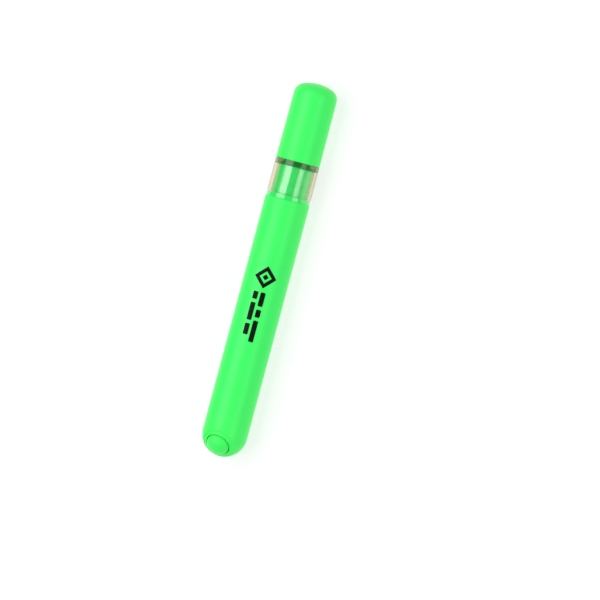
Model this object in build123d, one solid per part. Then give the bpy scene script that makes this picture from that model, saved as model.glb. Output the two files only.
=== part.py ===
"""A capped chisel-nib highlighter, lying on its side, in millimetres.

The pen axis runs along X, cap towards +X. The origin is under the middle of the whole length, on the
surface the pen lies on. Stations named *_X are distances along the axis from the closed rear end.
"""

import os
from math import cos, radians, sin, sqrt, tan

from build123d import *

# Overall
BARREL_R = 8.0
BARREL_L = 92.9
COLLAR_L = 1.5
CAP_L = 40.6
TOTAL_L = BARREL_L + COLLAR_L + CAP_L

# Barrel
WALL = 1.3
CAVITY_R = BARREL_R - WALL
MOUTH_EDGE = 0.3
RIB_COUNT = 4
RIB_START = 45.0
RIB_W = 0.9
RIB_GAP = 0.05
RIB_END_GAP = 0.5
SEAT_X = 11.0
SEAT_L = 2.0
SEAT_R = 3.4

# Refill plug, set obliquely into the rounded rear end
PLUG_ANGLE = 47.0
PLUG_HEAD_R = 4.05
PLUG_HEAD_GAP = 0.45
PLUG_GAP = 0.08
PLUG_APEX = 8.5
PLUG_EDGE = 6.9
PLUG_BREAK_R = 0.15
PLUG_BREAK_L = 0.3
PLUG_SEAT = 4.7
PLUG_SHANK_R = 2.1
PLUG_SHANK_END = 2.6
PLUG_LEAD_R = 0.4
PLUG_LEAD_L = 0.6
DISH_R = 6.0
DISH_DEPTH = 0.55
DISH_SAG = 0.18
BOSS_R = 5.3
BOSS_END = 3.4

# Nib holder
SPIGOT_L = 10.0
SPIGOT_R = CAVITY_R - 0.02
HOLDER_BORE_R = 5.65
COLLAR_R = 7.8
SEAL_LAND_R = 6.6
SEAL_LAND_L = 3.6
SEAL_LAND_STEP = 0.1
SECTION_R = 6.5
SECTION_L = 10.05
NECK_R = 2.83
NECK_START = 18.0
NECK_END = 23.2
NECK_EDGE_L = 0.35
NECK_EDGE_R = 0.21
HOLLOW_CONE_START = -1.0
HOLLOW_CONE_END = 1.6
HOLLOW_END_R = 3.7
GUIDE_R = 3.75
GUIDE_L = 5.0

# Nib
NIB_W = 4.44
NIB_T = 4.0
NIB_CORNER = 0.9
NIB_EXPOSED = 7.95
NIB_L = 36.0
NIB_TIP_T = 1.1
NIB_BEVEL_L = 4.5
NIB_SLANT = 20.0
NIB_TAIL_L = 5.0
NIB_TAIL_T = 1.6
NIB_FIT = 0.03

# Reservoir
RESERVOIR_R = 5.45
WRAP_T = 0.13
RESERVOIR_FRONT = 1.0

# Cap
CAP_GAP = 0.15
WINDOW_L = 10.15
WINDOW_R = 7.92
WINDOW_BORE_R = 6.75
WINDOW_BORE_L = 10.05
WINDOW_LEAD_R = 0.24
WINDOW_LEAD_L = 0.36
BAND_L = 1.9
BAND_R = 7.86
COVER_RIM_R = 7.86
COVER_TOP_R = 7.75
CROWN_R = 14.0
CORNER_R = 4.0
COVER_TOP_WALL = 1.1
COVER_SEAT_GAP = 0.2
SLEEVE_SPIGOT_R = 7.0
SLEEVE_BORE_R = 5.9
SLEEVE_SHOULDER_L = 1.5
SLEEVE_TOP = 33.35
FIT = 0.03
INNER_CAP_R = 4.2
INNER_CAP_BORE_R = 2.98
INNER_CAP_MOUTH = 18.3
INNER_CAP_BORE_END = 36.7
INNER_CAP_TOP = 37.8
INNER_CAP_LEAD_R = 0.35
INNER_CAP_LEAD_L = 0.6
INNER_CAP_CHAMFER = 0.6
FLANGE_R = 6.6
FLANGE_T = 1.0
FLANGE_CHAMFER = 0.3

# Stations along the axis, from the rear end
MOUTH_X = BARREL_L
FACE_X = BARREL_L + COLLAR_L
CAP_X = FACE_X + CAP_GAP
SHOULDER_X = FACE_X + SECTION_L
NECK_X = FACE_X + NECK_START
NOSE_X = FACE_X + NECK_END
TIP_X = NOSE_X + NIB_EXPOSED
TOP_X = TOTAL_L
FRONT_X = MOUTH_X + RESERVOIR_FRONT

PEN = Pos(-TOTAL_L / 2, 0, BARREL_R)

# Small outer edge chamfer, and how far cutting shapes run past what they cut
EDGE = 0.12
OVER = 1.0
CLEAR = 30.0


def turned(outline):
    """Solid of revolution about the pen axis from a closed outline of (station, radius) edges."""
    return revolve(make_face(outline), Axis.X)


def turned_points(*points):
    return turned(Polyline(*points, close=True))


def tube(start, end, outer, inner):
    return turned_points((start, inner), (end, inner), (end, outer), (start, outer))


def closed_end_outline(radius, inset, end):
    """Half outline of a round-bottomed rod whose rear end starts at inset."""
    centre = BARREL_R
    halfway = radius * sqrt(0.5)
    return Curve() + [
        ThreePointArc((inset, 0), (centre - halfway, halfway), (centre, radius)),
        Polyline((centre, radius), (end, radius), (end, 0), (inset, 0)),
    ]


def rear_plane(height):
    """Plane square to the plug's axis, at this distance from the centre of the rounded end."""
    angle = radians(PLUG_ANGLE)
    outward = Vector(-cos(angle), 0, sin(angle))
    return Plane(Vector(BARREL_R, 0, 0) + outward * height, x_dir=(0, 1, 0), z_dir=outward)


def rear_cylinder(radius, start, end):
    """Cylinder on the plug's axis between two distances from the centre of the rounded end."""
    return extrude(rear_plane(start) * Circle(radius), end - start)


def rear_turned(outline):
    """Solid of revolution about the plug's axis, from an outline in (radius, height)."""
    upright = revolve(Plane.XZ * make_face(outline), Axis.Z)
    return rear_plane(0).location * upright


def dish():
    """Shallow saucer that the plug's head sits in."""
    rim = sqrt(BARREL_R**2 - DISH_R**2)
    inner = PLUG_HEAD_R + PLUG_HEAD_GAP
    floor = sqrt(BARREL_R**2 - inner**2) - DISH_DEPTH
    top = BARREL_R + OVER
    middle = ((DISH_R + inner) / 2, (rim + floor) / 2 - DISH_SAG)
    return rear_turned(
        Curve()
        + [
            ThreePointArc((DISH_R, rim), middle, (inner, floor)),
            Polyline((inner, floor), (0, floor), (0, top), (DISH_R, top), (DISH_R, rim)),
        ]
    )


def rib(angle):
    """Rib that centres the reservoir, with a foot at its rear end that stops it."""
    wall = CAVITY_R + WALL / 2
    inner = RESERVOIR_R + WRAP_T + RIB_GAP
    front = MOUTH_X - SPIGOT_L - RIB_END_GAP
    side = Polyline(
        (SEAT_X, SEAT_R),
        (SEAT_X + SEAT_L, SEAT_R),
        (SEAT_X + SEAT_L, inner),
        (front, inner),
        (front, wall),
        (SEAT_X, wall),
        close=True,
    )
    slab = extrude(make_face(side), RIB_W / 2, both=True)
    return Rot(angle, 0, 0) * slab


def barrel():
    """Round-ended tube with centring ribs, and a boss inside its rear end for the plug."""
    outer = turned(closed_end_outline(BARREL_R, 0, MOUTH_X))
    outer = chamfer(outer.edges().filter_by(GeomType.CIRCLE).sort_by(Axis.X)[-1], MOUTH_EDGE)
    cavity = turned(closed_end_outline(CAVITY_R, WALL, MOUTH_X + OVER))
    boss = rear_cylinder(BOSS_R, BOSS_END, BARREL_R) & outer
    shell = outer - cavity + boss
    for step in range(RIB_COUNT):
        shell += rib(RIB_START + step * 360 / RIB_COUNT)
    shell -= dish()
    shell -= rear_cylinder(PLUG_HEAD_R + PLUG_HEAD_GAP, PLUG_SEAT, BARREL_R + OVER)
    return shell - rear_cylinder(PLUG_SHANK_R + PLUG_GAP, 0, BARREL_R)


def refill_plug():
    """Domed head on a short shank."""
    seat = PLUG_SEAT + PLUG_GAP
    dome_edge = PLUG_HEAD_R - PLUG_BREAK_R
    sag = PLUG_APEX - PLUG_EDGE
    dome_r = (dome_edge**2 + sag**2) / (2 * sag)
    midway = dome_edge / 2
    midway_height = PLUG_APEX - dome_r + sqrt(dome_r**2 - midway**2)
    outline = Curve() + [
        ThreePointArc((dome_edge, PLUG_EDGE), (midway, midway_height), (0, PLUG_APEX)),
        Polyline(
            (0, PLUG_APEX),
            (0, PLUG_SHANK_END),
            (PLUG_SHANK_R - PLUG_LEAD_R, PLUG_SHANK_END),
            (PLUG_SHANK_R, PLUG_SHANK_END + PLUG_LEAD_L),
            (PLUG_SHANK_R, seat),
            (PLUG_HEAD_R, seat),
            (PLUG_HEAD_R, PLUG_EDGE - PLUG_BREAK_L),
            (dome_edge, PLUG_EDGE),
        ),
    ]
    return rear_turned(outline)


def flare_points():
    """Start, middle and end of the concave arc from the shoulder to the neck."""
    run = NECK_START - SECTION_L
    rise = SECTION_R - NECK_R
    radius = (run**2 + rise**2) / (2 * rise)
    half_run = run / 2
    middle = (NECK_X - half_run, NECK_R + radius - sqrt(radius**2 - half_run**2))
    return (SHOULDER_X, SECTION_R), middle, (NECK_X, NECK_R)


def holder_outside():
    start, middle, end = flare_points()
    land = FACE_X + SEAL_LAND_L
    rear = MOUTH_X - SPIGOT_L
    return Curve() + [
        Polyline(
            (rear, 0),
            (rear, SPIGOT_R),
            (MOUTH_X, SPIGOT_R),
            (MOUTH_X, COLLAR_R),
            (FACE_X - EDGE, COLLAR_R),
            (FACE_X, COLLAR_R - EDGE),
            (FACE_X, SEAL_LAND_R),
            (land, SEAL_LAND_R),
            (land + SEAL_LAND_STEP, SECTION_R),
            start,
        ),
        ThreePointArc(start, middle, end),
        Polyline(
            end,
            (NOSE_X - NECK_EDGE_L, NECK_R),
            (NOSE_X, NECK_R - NECK_EDGE_R),
            (NOSE_X, 0),
            (rear, 0),
        ),
    ]


def holder_hollow():
    """Room for the front of the reservoir, narrowing inside the flare."""
    rear = MOUTH_X - SPIGOT_L - OVER
    cone_end = SHOULDER_X + HOLLOW_CONE_END
    return turned_points(
        (rear, 0),
        (rear, HOLDER_BORE_R),
        (SHOULDER_X + HOLLOW_CONE_START, HOLDER_BORE_R),
        (cone_end, HOLLOW_END_R),
        (cone_end, 0),
    )


def nib_bar(extra, start, end):
    """Rounded bar of the nib's section, enlarged all round by extra."""
    section = RectangleRounded(NIB_W + 2 * extra, NIB_T + 2 * extra, NIB_CORNER)
    return extrude(Plane((start, 0, 0), x_dir=(0, 1, 0), z_dir=(1, 0, 0)) * section, end - start)


def nib_holder():
    """Spigot, collar, section, flare and neck, with a guide inside that grips the nib."""
    guide_start = SHOULDER_X - GUIDE_L
    guide_end = SHOULDER_X + HOLLOW_CONE_END + OVER
    body = turned(holder_outside()) - holder_hollow()
    body += tube(guide_start, guide_end, GUIDE_R, 0)
    return body - nib_bar(NIB_FIT, guide_start - OVER, NOSE_X + OVER)


def nib_bevel(side):
    """Wedge that takes the chisel bevel off the top or the bottom of the nib."""
    edge = side * NIB_TIP_T / 2
    face = side * NIB_T / 2
    lean = (NIB_T - NIB_TIP_T) / 2 / NIB_BEVEL_L
    far = TIP_X + CLEAR
    outline = Polyline(
        (TIP_X - NIB_BEVEL_L, face),
        (far, edge - side * lean * CLEAR),
        (far, side * CLEAR),
        (TIP_X - NIB_BEVEL_L, side * CLEAR),
        close=True,
    )
    return extrude(Plane.XZ * make_face(outline), NIB_W, both=True)


def nib_slant():
    """Block beyond the slanted writing edge, which stands further out at -Y."""
    rise = tan(radians(NIB_SLANT))
    near = TIP_X + NIB_W / 2 * rise
    outline = Polyline(
        (near, -NIB_W),
        (near - 2 * NIB_W * rise, NIB_W),
        (TIP_X + CLEAR, NIB_W),
        (TIP_X + CLEAR, -NIB_W),
        close=True,
    )
    return extrude(make_face(outline), NIB_T, both=True)


def nib():
    rear = TIP_X - NIB_L
    bar = nib_bar(0, rear + NIB_TAIL_L, TIP_X)
    bar = bar - nib_bevel(1) - nib_bevel(-1) - nib_slant()
    root = Plane((rear + NIB_TAIL_L, 0, 0), x_dir=(0, 1, 0), z_dir=(1, 0, 0))
    tail = Plane((rear, 0, 0), x_dir=(0, 1, 0), z_dir=(1, 0, 0))
    point = loft(
        [
            tail * RectangleRounded(NIB_TAIL_T, NIB_TAIL_T, NIB_TAIL_T / 3),
            root * RectangleRounded(NIB_W, NIB_T, NIB_CORNER),
        ]
    )
    return bar + point


def ink_reservoir():
    """Fibre rod with the socket that the nib's tail presses into it."""
    return tube(SEAT_X + SEAT_L, FRONT_X, RESERVOIR_R, 0) - nib()


def reservoir_wrap():
    return tube(SEAT_X + SEAT_L, FRONT_X, RESERVOIR_R + WRAP_T, RESERVOIR_R)


def cap_sleeve():
    """Clear window and the spigot above it that the cover is pressed on."""
    window_top = CAP_X + WINDOW_L
    top = CAP_X + SLEEVE_TOP
    cone = CAP_X + WINDOW_BORE_L
    return turned_points(
        (CAP_X, WINDOW_BORE_R + WINDOW_LEAD_R),
        (CAP_X + WINDOW_LEAD_L, WINDOW_BORE_R),
        (cone, WINDOW_BORE_R),
        (cone + SLEEVE_SHOULDER_L, SLEEVE_BORE_R),
        (top, SLEEVE_BORE_R),
        (top, SLEEVE_SPIGOT_R - EDGE),
        (top - EDGE, SLEEVE_SPIGOT_R),
        (window_top, SLEEVE_SPIGOT_R),
        (window_top, WINDOW_R - EDGE),
        (window_top - EDGE, WINDOW_R),
        (CAP_X + EDGE, WINDOW_R),
        (CAP_X, WINDOW_R - EDGE),
    )


def cap_band():
    """Smoke-grey ring between the window and the cover."""
    start = CAP_X + WINDOW_L
    end = start + BAND_L
    inner = SLEEVE_SPIGOT_R + FIT
    return turned_points(
        (start, inner),
        (end, inner),
        (end, BAND_R - EDGE),
        (end - EDGE, BAND_R),
        (start + EDGE, BAND_R),
        (start, BAND_R - EDGE),
    )


def crown_outline(wall):
    """Side, round corner and crowned top of the cover, offset inwards by wall."""
    sphere = TOP_X - CROWN_R
    centre_r = COVER_TOP_R - CORNER_R
    centre_x = sphere + sqrt((CROWN_R - CORNER_R) ** 2 - centre_r**2)
    corner = CORNER_R - wall
    reach = CROWN_R - CORNER_R
    out_x = (centre_x - sphere) / reach
    out_r = centre_r / reach
    meet = (centre_x + corner * out_x, centre_r + corner * out_r)
    bisect = sqrt((1 + out_r) / 2)
    middle = (centre_x + corner * sqrt(1 - bisect**2), centre_r + corner * bisect)
    tangent = (centre_x, centre_r + corner)
    crown = CROWN_R - wall
    crown_middle = (sphere + crown * sqrt(1 - (out_r / 2) ** 2), crown * out_r / 2)
    apex = (sphere + crown, 0)
    return tangent, middle, meet, crown_middle, apex


def crown_solid(rim_x, rim_r, wall):
    tangent, middle, meet, crown_middle, apex = crown_outline(wall)
    return turned(
        Curve()
        + [
            Polyline(apex, (rim_x, 0), (rim_x, rim_r - EDGE), (rim_x + EDGE, rim_r), tangent),
            ThreePointArc(tangent, middle, meet),
            ThreePointArc(meet, crown_middle, apex),
        ]
    )


def cap_cover():
    """Green outer shell of the cap, bored for the sleeve and domed inside its top."""
    rim = CAP_X + WINDOW_L + BAND_L
    bore_end = CAP_X + SLEEVE_TOP
    solid = crown_solid(rim, COVER_RIM_R, 0)
    dome = crown_solid(bore_end, COVER_TOP_R - COVER_TOP_WALL, COVER_TOP_WALL)
    bore = tube(rim - OVER, bore_end + COVER_SEAT_GAP, SLEEVE_SPIGOT_R + FIT, 0)
    return solid - bore - dome


def inner_cap():
    """Seal cup that closes round the neck, hung from a flange on the sleeve's top rim."""
    mouth = CAP_X + INNER_CAP_MOUTH
    top = CAP_X + INNER_CAP_TOP
    bore_end = CAP_X + INNER_CAP_BORE_END
    rim = CAP_X + SLEEVE_TOP
    return turned_points(
        (mouth, INNER_CAP_BORE_R + INNER_CAP_LEAD_R),
        (mouth + INNER_CAP_LEAD_L, INNER_CAP_BORE_R),
        (bore_end, INNER_CAP_BORE_R),
        (bore_end, 0),
        (top, 0),
        (top, INNER_CAP_R - INNER_CAP_CHAMFER),
        (top - INNER_CAP_CHAMFER, INNER_CAP_R),
        (rim + FLANGE_T, INNER_CAP_R),
        (rim + FLANGE_T, FLANGE_R - FLANGE_CHAMFER),
        (rim + FLANGE_T - FLANGE_CHAMFER, FLANGE_R),
        (rim, FLANGE_R),
        (rim, INNER_CAP_R),
        (mouth, INNER_CAP_R),
    )


PIECES = (
    barrel,
    refill_plug,
    nib_holder,
    nib,
    ink_reservoir,
    reservoir_wrap,
    cap_cover,
    cap_band,
    cap_sleeve,
    inner_cap,
)

os.makedirs("parts", exist_ok=True)
for piece in PIECES:
    name = piece.__name__
    solid = PEN * piece()
    export_step(solid, f"parts/{name}.step")
    print(name, round(solid.volume, 1))
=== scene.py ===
"""Looks of the capped highlighter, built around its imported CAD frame, in metres.

The pen lies along X with its cap towards +X. Angles around it are measured from +Z towards -Y.
"""

import math

import bmesh
import bpy
from mathutils import Matrix, Vector


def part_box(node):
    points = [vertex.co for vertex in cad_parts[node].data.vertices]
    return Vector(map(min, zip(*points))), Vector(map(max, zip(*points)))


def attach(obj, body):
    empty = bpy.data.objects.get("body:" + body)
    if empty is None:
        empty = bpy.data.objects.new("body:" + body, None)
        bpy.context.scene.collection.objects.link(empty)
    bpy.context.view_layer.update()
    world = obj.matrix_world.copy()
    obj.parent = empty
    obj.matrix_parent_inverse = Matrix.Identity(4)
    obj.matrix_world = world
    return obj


MM = 0.001

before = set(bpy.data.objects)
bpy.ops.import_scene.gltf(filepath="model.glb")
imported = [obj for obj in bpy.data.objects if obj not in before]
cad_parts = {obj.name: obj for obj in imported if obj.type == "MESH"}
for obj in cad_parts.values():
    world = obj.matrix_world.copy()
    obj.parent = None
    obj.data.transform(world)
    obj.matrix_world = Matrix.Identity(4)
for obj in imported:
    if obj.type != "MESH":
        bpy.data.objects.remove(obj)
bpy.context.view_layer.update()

# The pen's own sizes, read from the frame
BARREL_LOW, BARREL_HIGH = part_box("barrel")
COVER_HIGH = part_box("cap_cover")[1]
AXIS_Z = (BARREL_LOW.z + BARREL_HIGH.z) / 2
BARREL_R = (BARREL_HIGH.z - BARREL_LOW.z) / 2
CENTRE = Vector(((BARREL_LOW.x + COVER_HIGH.x) / 2, 0, AXIS_Z))

# Camera: angle around the pen, lean of the pen in the picture, lens, width of the view at the pen
VIEW_ROUND = math.radians(19.3)
LEAN = math.radians(15.0)
LENS = 600.0
SENSOR = 36.0
FRAME_W = 210.3 * MM
AIM_RIGHT = 10.9 * MM
AIM_DOWN = 10.5 * MM
CLIP_END = 10.0

# Soft boxes: name, angle from the view to their middle, half angle covered, distance, radiance
BOX_L = 1.1
SOFT_BOXES = (
    ("soft_box_left", math.radians(-43.5), math.radians(21.5), 0.7, 2.55),
    ("soft_box_right", math.radians(38.0), math.radians(15.0), 0.9, 1.65),
)
WORLD_STRENGTH = 0.32
WHITE = (1, 1, 1, 1)

# Floor
FLOOR_HALF = 1.5
FLOOR_GLOW = 0.73
FLOOR_GREYS = ((0.28, 0.28, 0.28), (0.30, 0.30, 0.30))

# Print on the barrel, laid out flat in millimetres as (along, across) from its front end
PRINT_START = 1.4 * MM
PRINT_HALF_W = 4.4
EMBLEM_AT = (4.2, -0.4)
EMBLEM_REACH = 4.0
EMBLEM_HOLE_REACH = 2.2
EMBLEM_CORE_REACH = 1.1
BAR_W = 1.8
BAR_CORNER = 0.35
CORNER_STEPS = 5

# Rows of bars: where the row is across, then (middle, length) of each bar along
BAR_ROWS = (
    (0.25, ((12.1, 5.0), (17.2, 2.8), (23.6, 7.7))),
    (-2.35, ((11.0, 2.8), (16.8, 6.4), (23.2, 4.0))),
)

# Strips that the print is cut into, and how far its ink stands out of and reaches into the barrel
STRIP_W = 0.4
STRIP_SHIFT = 0.07
CUT_TOLERANCE = 1e-6
INK_PROUD = 0.02 * MM
INK_SUNK = 0.03 * MM

# Colours, linear, in pairs that each material wanders between
SATIN_GREENS = ((0.042, 0.93, 0.140), (0.054, 0.94, 0.128))
HOLDER_GREENS = ((0.004, 0.86, 0.13), (0.020, 0.92, 0.17))
NIB_GREENS = ((0.0, 0.23, 0.012), (0.004, 0.40, 0.03))
RESERVOIR_GREENS = ((0.12, 0.75, 0.20), (0.22, 0.90, 0.30))
SEAL_WHITES = ((0.78, 0.82, 0.78), (0.86, 0.89, 0.85))
INK_BLACKS = ((0.002, 0.003, 0.002), (0.008, 0.012, 0.008))

# What clear walls let through, from a wall seen face-on (0) to one seen edge-on (1)
CLEAR_TINTS = (
    (0.0, (1, 1, 1)),
    (0.35, (0.985, 0.97, 0.945)),
    (0.5, (0.935, 0.87, 0.765)),
    (1.0, (0.85, 0.75, 0.66)),
)
# The band's grey tint is painted shade. It darkens what is seen through the band, standing in for
# the shade at the thick clear shoulder under the cover's edge.
BAND_SHADE_TINTS = (
    (0.0, (0.70, 0.73, 0.68)),
    (0.25, (0.79, 0.85, 0.75)),
    (0.5, (0.76, 0.83, 0.72)),
    (0.65, (0.54, 0.62, 0.49)),
)
FILM_TINTS = ((0.0, (0.98, 0.99, 0.98)), (1.0, (0.85, 0.92, 0.85)))

# Share of light that polished plastic mirrors, face-on and at grazing, and how it rises between
SHINE_FACE_ON = 0.04
SHINE_GRAZING = 0.9
SHINE_POWER = 5.0

# The part of its 0..1 range that noise mostly lies in
NOISE_LOW = 0.3
NOISE_HIGH = 0.7


def material(name):
    """A new material, its tree, and the Principled shader that is already on its output."""
    m = bpy.data.materials.new(name)
    m.use_nodes = True
    tree = m.node_tree
    shader = next(n for n in tree.nodes if n.type == "BSDF_PRINCIPLED")
    return m, tree, shader


def coordinates(tree, stretch=(1, 1, 1)):
    """Object coordinates, scaled by stretch, so a pattern stays with its piece."""
    coord = tree.nodes.new("ShaderNodeTexCoord")
    mapping = tree.nodes.new("ShaderNodeMapping")
    mapping.inputs["Scale"].default_value = stretch
    tree.links.new(coord.outputs["Object"], mapping.inputs["Vector"])
    return mapping.outputs["Vector"]


def noise(tree, vector, scale, detail=2.0):
    n = tree.nodes.new("ShaderNodeTexNoise")
    n.inputs["Scale"].default_value = scale
    n.inputs["Detail"].default_value = detail
    tree.links.new(vector, n.inputs["Vector"])
    return n.outputs["Fac"]


def span(tree, value, low, high):
    """Noise value stretched to low..high."""
    r = tree.nodes.new("ShaderNodeMapRange")
    r.inputs["From Min"].default_value = NOISE_LOW
    r.inputs["From Max"].default_value = NOISE_HIGH
    r.inputs["To Min"].default_value = low
    r.inputs["To Max"].default_value = high
    tree.links.new(value, r.inputs["Value"])
    return r.outputs["Result"]


def blend_colours(tree, value, pair):
    """Colour that wanders between the two of a pair as the noise value does."""
    ramp = tree.nodes.new("ShaderNodeValToRGB")
    for stop, position, colour in zip(ramp.color_ramp.elements, (NOISE_LOW, NOISE_HIGH), pair):
        stop.position = position
        stop.color = (*colour, 1)
    tree.links.new(value, ramp.inputs["Fac"])
    return ramp.outputs["Color"]


def bump(tree, shader, height, strength, distance):
    b = tree.nodes.new("ShaderNodeBump")
    b.inputs["Strength"].default_value = strength
    b.inputs["Distance"].default_value = distance
    tree.links.new(height, b.inputs["Height"])
    tree.links.new(b.outputs["Normal"], shader.inputs["Normal"])


def satin_green():
    """Opaque fluorescent plastic with a fine spark-eroded texture, and a faint painted glow in its
    own green.
    """
    m, tree, shader = material("satin_green")
    vector = coordinates(tree)
    cloud = noise(tree, vector, scale=45.0)
    grain = noise(tree, vector, scale=5200.0, detail=3.0)
    colour = blend_colours(tree, cloud, SATIN_GREENS)
    tree.links.new(colour, shader.inputs["Base Color"])
    # Painted glow: the base colour is also emitted faintly. It stands in for the plastic's
    # fluorescence and lifts its shaded side.
    tree.links.new(colour, shader.inputs["Emission Color"])
    shader.inputs["Emission Strength"].default_value = 0.04
    shader.inputs["Specular IOR Level"].default_value = 0.27
    tree.links.new(span(tree, grain, low=0.28, high=0.38), shader.inputs["Roughness"])
    bump(tree, shader, grain, strength=0.25, distance=0.02 * MM)
    return m


def translucent_green():
    """Polished translucent plastic of the nib holder, with a faint painted glow in its own green."""
    m, tree, shader = material("translucent_green")
    vector = coordinates(tree)
    flow = noise(tree, coordinates(tree, stretch=(0.2, 1, 1)), scale=220.0)
    fine = noise(tree, vector, scale=2500.0)
    colour = blend_colours(tree, flow, HOLDER_GREENS)
    tree.links.new(colour, shader.inputs["Base Color"])
    # Painted glow: the base colour is also emitted faintly. It stands in for the plastic's
    # fluorescence and lifts its shaded side.
    tree.links.new(colour, shader.inputs["Emission Color"])
    shader.inputs["Emission Strength"].default_value = 0.08
    tree.links.new(span(tree, fine, low=0.16, high=0.22), shader.inputs["Roughness"])
    shader.inputs["IOR"].default_value = 1.46
    shader.inputs["Transmission Weight"].default_value = 0.25
    shader.inputs["Coat Weight"].default_value = 1.0
    shader.inputs["Coat IOR"].default_value = 1.75
    shader.inputs["Coat Roughness"].default_value = 0.12
    return m


def tint_ramp(tree, facing, tints):
    """Colour that a wall lets through, which is deeper the more edge-on the wall is seen."""
    ramp = tree.nodes.new("ShaderNodeValToRGB")
    stops = ramp.color_ramp.elements
    while len(stops) < len(tints):
        stops.new(0.5)
    for stop, (position, colour) in zip(stops, tints):
        stop.position = position
        stop.color = (*colour, 1)
    tree.links.new(facing, ramp.inputs["Fac"])
    return ramp.outputs["Color"]


def grazing_shine(tree, facing):
    """Share of light that polished plastic mirrors, rising steeply towards grazing."""
    steep = tree.nodes.new("ShaderNodeMath")
    steep.operation = "POWER"
    steep.inputs[1].default_value = SHINE_POWER
    tree.links.new(facing, steep.inputs[0])
    share = tree.nodes.new("ShaderNodeMapRange")
    share.inputs["To Min"].default_value = SHINE_FACE_ON
    share.inputs["To Max"].default_value = SHINE_GRAZING
    tree.links.new(steep.outputs["Value"], share.inputs["Value"])
    return share.outputs["Result"]


def see_through(name, tints, roughness):
    """Thin polished plastic that light passes straight through."""
    m, tree, shader = material(name)
    out = next(n for n in tree.nodes if n.type == "OUTPUT_MATERIAL")
    edge_on = tree.nodes.new("ShaderNodeLayerWeight")
    edge_on.inputs["Blend"].default_value = 0.5
    facing = edge_on.outputs["Facing"]
    clear = tree.nodes.new("ShaderNodeBsdfTransparent")
    tree.links.new(tint_ramp(tree, facing, tints), clear.inputs["Color"])
    gloss = tree.nodes.new("ShaderNodeBsdfGlossy")
    fine = noise(tree, coordinates(tree), scale=1800.0)
    rough = span(tree, fine, low=roughness, high=roughness + 0.03)
    tree.links.new(rough, gloss.inputs["Roughness"])
    mix = tree.nodes.new("ShaderNodeMixShader")
    tree.links.new(grazing_shine(tree, facing), mix.inputs["Fac"])
    tree.links.new(clear.outputs["BSDF"], mix.inputs[1])
    tree.links.new(gloss.outputs["BSDF"], mix.inputs[2])
    tree.links.new(mix.outputs["Shader"], out.inputs["Surface"])
    tree.nodes.remove(shader)
    return m


def felt(name, greens, fibre_scale, roughness):
    """Bonded fibre, its strands running along the pen."""
    m, tree, shader = material(name)
    strands = noise(tree, coordinates(tree, stretch=(0.06, 1, 1)), fibre_scale, detail=4.0)
    speckle = noise(tree, coordinates(tree), fibre_scale * 1.5)
    tree.links.new(blend_colours(tree, strands, greens), shader.inputs["Base Color"])
    rough = span(tree, speckle, low=roughness, high=roughness + 0.15)
    tree.links.new(rough, shader.inputs["Roughness"])
    shader.inputs["Specular IOR Level"].default_value = 0.15
    bump(tree, shader, strands, strength=0.5, distance=0.05 * MM)
    return m


def seal_white():
    """Soft milky polyethylene of the seal cup."""
    m, tree, shader = material("seal_white")
    vector = coordinates(tree)
    cloud = noise(tree, vector, scale=120.0)
    fine = noise(tree, vector, scale=1500.0)
    tree.links.new(blend_colours(tree, cloud, SEAL_WHITES), shader.inputs["Base Color"])
    tree.links.new(span(tree, fine, low=0.4, high=0.5), shader.inputs["Roughness"])
    shader.inputs["Subsurface Weight"].default_value = 0.3
    shader.inputs["Subsurface Radius"].default_value = (2 * MM, 2 * MM, 2 * MM)
    return m


def print_ink():
    """Black pad-print ink, slightly uneven and a little shiny."""
    m, tree, shader = material("print_ink")
    vector = coordinates(tree)
    speckle = noise(tree, vector, scale=2600.0, detail=3.0)
    tree.links.new(blend_colours(tree, speckle, INK_BLACKS), shader.inputs["Base Color"])
    tree.links.new(span(tree, speckle, low=0.35, high=0.5), shader.inputs["Roughness"])
    shader.inputs["Specular IOR Level"].default_value = 0.08
    bump(tree, shader, speckle, strength=0.15, distance=0.01 * MM)
    return m


def studio_floor():
    """Matt white paper that glows a little, so that it stays pale all over."""
    m, tree, shader = material("studio_floor")
    vector = coordinates(tree)
    paper = noise(tree, vector, scale=30.0)
    tree.links.new(blend_colours(tree, paper, FLOOR_GREYS), shader.inputs["Base Color"])
    tree.links.new(span(tree, paper, low=0.85, high=0.95), shader.inputs["Roughness"])
    shader.inputs["Emission Color"].default_value = WHITE
    shader.inputs["Emission Strength"].default_value = FLOOR_GLOW
    return m


def paint(node, m):
    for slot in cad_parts[node].material_slots:
        slot.material = m


def dress_nodes():
    green = satin_green()
    for node in ("barrel", "refill_plug", "cap_cover"):
        paint(node, green)
    paint("nib_holder", translucent_green())
    paint("cap_sleeve", see_through("clear_sleeve", CLEAR_TINTS, roughness=0.04))
    # Painted shade: the band's grey tint stands in for the shade at the thick clear shoulder under
    # the cover's edge.
    paint("cap_band", see_through("band_painted_shade", BAND_SHADE_TINTS, roughness=0.05))
    paint("reservoir_wrap", see_through("wrap_film", FILM_TINTS, roughness=0.08))
    paint("nib", felt("nib_felt", NIB_GREENS, fibre_scale=2600.0, roughness=0.65))
    fibre = felt("reservoir_fibre", RESERVOIR_GREENS, fibre_scale=1600.0, roughness=0.8)
    paint("ink_reservoir", fibre)
    paint("inner_cap", seal_white())


def rounded_bar(along, across, length, width, corner):
    """Outline of a bar with round corners, as (along, across) points."""
    points = []
    for quarter, (u, v) in enumerate(((1, 1), (-1, 1), (-1, -1), (1, -1))):
        for step in range(CORNER_STEPS + 1):
            turn = (quarter + step / CORNER_STEPS) * math.pi / 2
            s = along + u * (length / 2 - corner) + corner * math.cos(turn)
            a = across + v * (width / 2 - corner) + corner * math.sin(turn)
            points.append((s, a))
    return points


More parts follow.
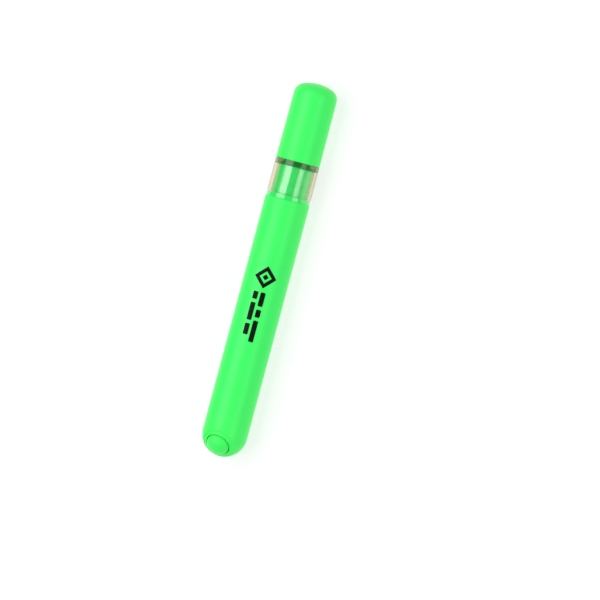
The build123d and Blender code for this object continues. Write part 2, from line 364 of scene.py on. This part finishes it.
def diamond(reach):
    """Outline of a square stood on its corner round the emblem's middle."""
    s, a = EMBLEM_AT
    return [(s + reach, a), (s, a + reach), (s - reach, a), (s, a - reach)]


def printed_shapes():
    """Outlines of the generic print, as (outer, inner or None)."""
    shapes = [
        (diamond(EMBLEM_REACH), diamond(EMBLEM_HOLE_REACH)),
        (diamond(EMBLEM_CORE_REACH), None),
    ]
    for across, bars in BAR_ROWS:
        for middle, length in bars:
            shapes.append((rounded_bar(middle, across, length, BAR_W, BAR_CORNER), None))
    return shapes


def flat_print():
    """The print laid out flat, in millimetres, cut into narrow strips so that it can be wrapped."""
    bm = bmesh.new()
    for outer, inner in printed_shapes():
        rim = [bm.verts.new((s, a, 0)) for s, a in outer]
        if inner is None:
            bm.faces.new(rim)
            continue
        hole = [bm.verts.new((s, a, 0)) for s, a in inner]
        for i in range(len(rim)):
            j = (i + 1) % len(rim)
            bm.faces.new((rim[i], rim[j], hole[j], hole[i]))
    half_count = int(PRINT_HALF_W / STRIP_W)
    for i in range(-half_count, half_count + 1):
        bmesh.ops.bisect_plane(
            bm,
            geom=bm.verts[:] + bm.edges[:] + bm.faces[:],
            dist=CUT_TOLERANCE,
            plane_co=(0, i * STRIP_W + STRIP_SHIFT, 0),
            plane_no=(0, 1, 0),
        )
    return bm


def build_print():
    """Pad-printed mark wrapped on the barrel: a diamond in a diamond frame, and two rows of bars."""
    bm = flat_print()
    extruded = bmesh.ops.extrude_face_region(bm, geom=bm.faces[:])
    top = {v for v in extruded["geom"] if isinstance(v, bmesh.types.BMVert)}
    for v in bm.verts:
        radius = BARREL_R + (INK_PROUD if v in top else -INK_SUNK)
        angle = VIEW_ROUND + v.co.y * MM / BARREL_R
        x = PRINT_START - v.co.x * MM
        v.co = (x, -radius * math.sin(angle), AXIS_Z + radius * math.cos(angle))
    bmesh.ops.recalc_face_normals(bm, faces=bm.faces[:])
    mesh = bpy.data.meshes.new("barrel_print")
    bm.to_mesh(mesh)
    bm.free()
    piece = bpy.data.objects.new("barrel_print", mesh)
    piece.data.materials.append(print_ink())
    bpy.context.scene.collection.objects.link(piece)
    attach(piece, "barrel")


def build_floor():
    """Large pale sheet that the pen lies on."""
    half = FLOOR_HALF
    mesh = bpy.data.meshes.new("studio_floor")
    corners = [(-half, -half, 0), (half, -half, 0), (half, half, 0), (-half, half, 0)]
    mesh.from_pydata(corners, [], [(0, 1, 2, 3)])
    floor = bpy.data.objects.new("studio_floor", mesh)
    floor.data.materials.append(studio_floor())
    bpy.context.scene.collection.objects.link(floor)


def around(angle):
    """Direction square to the pen, at this angle around it."""
    return Vector((0, -math.sin(angle), math.cos(angle)))


def build_camera():
    """Camera square to the pen, turned so that the pen leans to the right in the picture."""
    towards = around(VIEW_ROUND)
    along = Vector((1, 0, 0))
    across = along.cross(towards)
    up = along * math.cos(LEAN) - across * math.sin(LEAN)
    right = along * math.sin(LEAN) + across * math.cos(LEAN)
    data = bpy.data.cameras.new("camera")
    data.lens = LENS
    data.sensor_width = SENSOR
    data.clip_end = CLIP_END
    camera = bpy.data.objects.new("camera", data)
    distance = FRAME_W * LENS / SENSOR
    place = CENTRE + right * AIM_RIGHT - up * AIM_DOWN + towards * distance
    rotation = Matrix((right, up, towards)).transposed()
    camera.matrix_world = Matrix.Translation(place) @ rotation.to_4x4()
    bpy.context.scene.collection.objects.link(camera)
    bpy.context.scene.camera = camera


def soft_box(name, middle, half_angle, distance, radiance):
    """Long soft box parallel to the pen, covering half_angle each side of middle from the pen."""
    width = 2 * distance * math.tan(half_angle)
    data = bpy.data.lights.new(name, "AREA")
    data.shape = "RECTANGLE"
    data.size = BOX_L
    data.size_y = width
    data.energy = radiance * math.pi * BOX_L * width
    light = bpy.data.objects.new(name, data)
    direction = around(VIEW_ROUND + middle)
    x_axis = Vector((1, 0, 0))
    rotation = Matrix((x_axis, direction.cross(x_axis), direction)).transposed()
    light.matrix_world = Matrix.Translation(CENTRE + direction * distance) @ rotation.to_4x4()
    light.visible_camera = False
    bpy.context.scene.collection.objects.link(light)


def build_lights():
    for name, middle, half_angle, distance, radiance in SOFT_BOXES:
        soft_box(name, middle, half_angle, distance, radiance)
    world = bpy.data.worlds.new("studio")
    world.use_nodes = True
    background = world.node_tree.nodes["Background"]
    background.inputs["Color"].default_value = WHITE
    background.inputs["Strength"].default_value = WORLD_STRENGTH
    bpy.context.scene.world = world
    bpy.context.scene.view_settings.view_transform = "Standard"


dress_nodes()
build_print()
build_floor()
build_camera()
build_lights()
